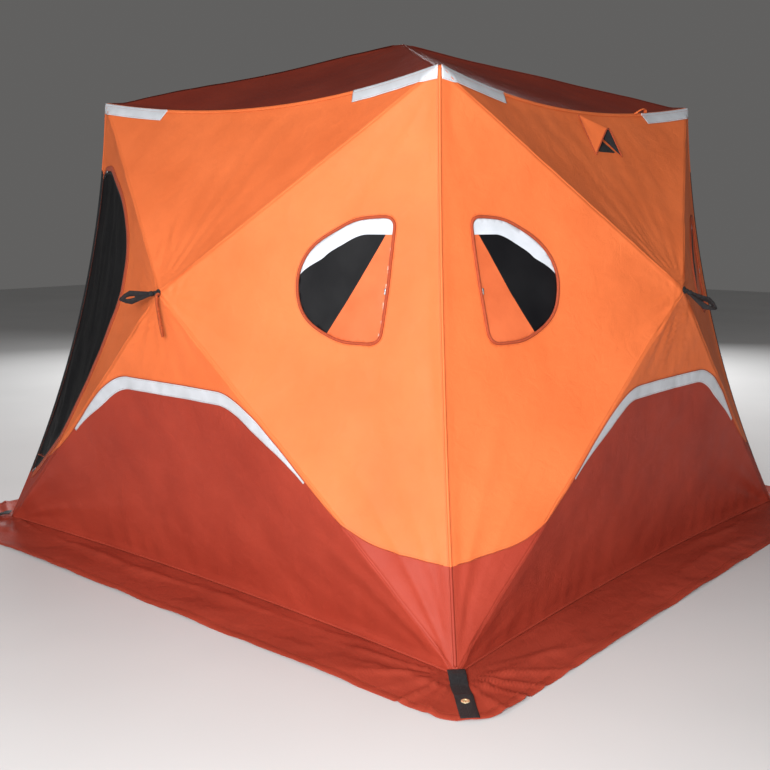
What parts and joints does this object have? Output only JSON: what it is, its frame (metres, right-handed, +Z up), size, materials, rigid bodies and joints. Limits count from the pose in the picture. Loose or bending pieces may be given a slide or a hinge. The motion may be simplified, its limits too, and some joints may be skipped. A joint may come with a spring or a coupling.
{
  "type": "ice fishing hut",
  "caption": "Square pop-up ice fishing hut of orange and brick-red cloth, each wall pushed out by a hub and rods, with D-shaped windows, side doors, vents and a snow skirt",
  "frame": {"origin": "middle of the ground under the hut", "axes": "+Z up, front wall faces -Y, right wall faces +X"},
  "size_m": [2.86, 2.86, 1.99],
  "materials": {
    "upper_cloth": "orange coated polyester",
    "lower_cloth": "brick red coated polyester",
    "skirt_cloth": "brick red coated polyester",
    "roof_cloth": "dark red coated polyester",
    "door_cloth": "black coated polyester",
    "window_film": "clear film over a black blind",
    "webbing": "black woven webbing",
    "cord": "twisted orange cord",
    "grommet": "rolled brass eyelet",
    "hub_plastic": "moulded black nylon",
    "rod": "solid glass-fibre rod"
  },
  "bodies": {
    "root": {"front_upper_panel": "upper_cloth", "front_lower_panel": "lower_cloth", "front_window_panel": "upper_cloth", "front_door_panel": "upper_cloth", "right_upper_panel": "upper_cloth", "right_lower_panel": "lower_cloth", "right_front_panel": "upper_cloth", "right_back_panel": "upper_cloth", "back_upper_panel": "upper_cloth", "back_lower_panel": "lower_cloth", "back_window_panel": "upper_cloth", "back_door_panel": "upper_cloth", "left_upper_panel": "upper_cloth", "left_lower_panel": "lower_cloth", "left_back_panel": "upper_cloth", "left_front_panel": "upper_cloth", "roof_front_panel": "roof_cloth", "roof_right_panel": "roof_cloth", "roof_back_panel": "roof_cloth", "roof_left_panel": "roof_cloth", "front_skirt": "skirt_cloth", "right_skirt": "skirt_cloth", "back_skirt": "skirt_cloth", "left_skirt": "skirt_cloth", "front_door": "door_cloth", "back_door": "door_cloth", "front_window": "window_film", "right_windows": "window_film", "back_window": "window_film", "left_windows": "window_film", "right_vent_hood": "upper_cloth", "left_vent_hood": "upper_cloth", "roof_hub": "hub_plastic", "wall_hubs": "hub_plastic", "roof_rods": "rod", "front_wall_rods": "rod", "right_wall_rods": "rod", "back_wall_rods": "rod", "left_wall_rods": "rod", "eave_corner_cups": "hub_plastic", "floor_corner_cups": "hub_plastic", "hub_pull_straps": "webbing", "corner_straps": "webbing", "corner_grommets": "grommet", "front_pull_cord": "cord"}
  },
  "joints": []
}
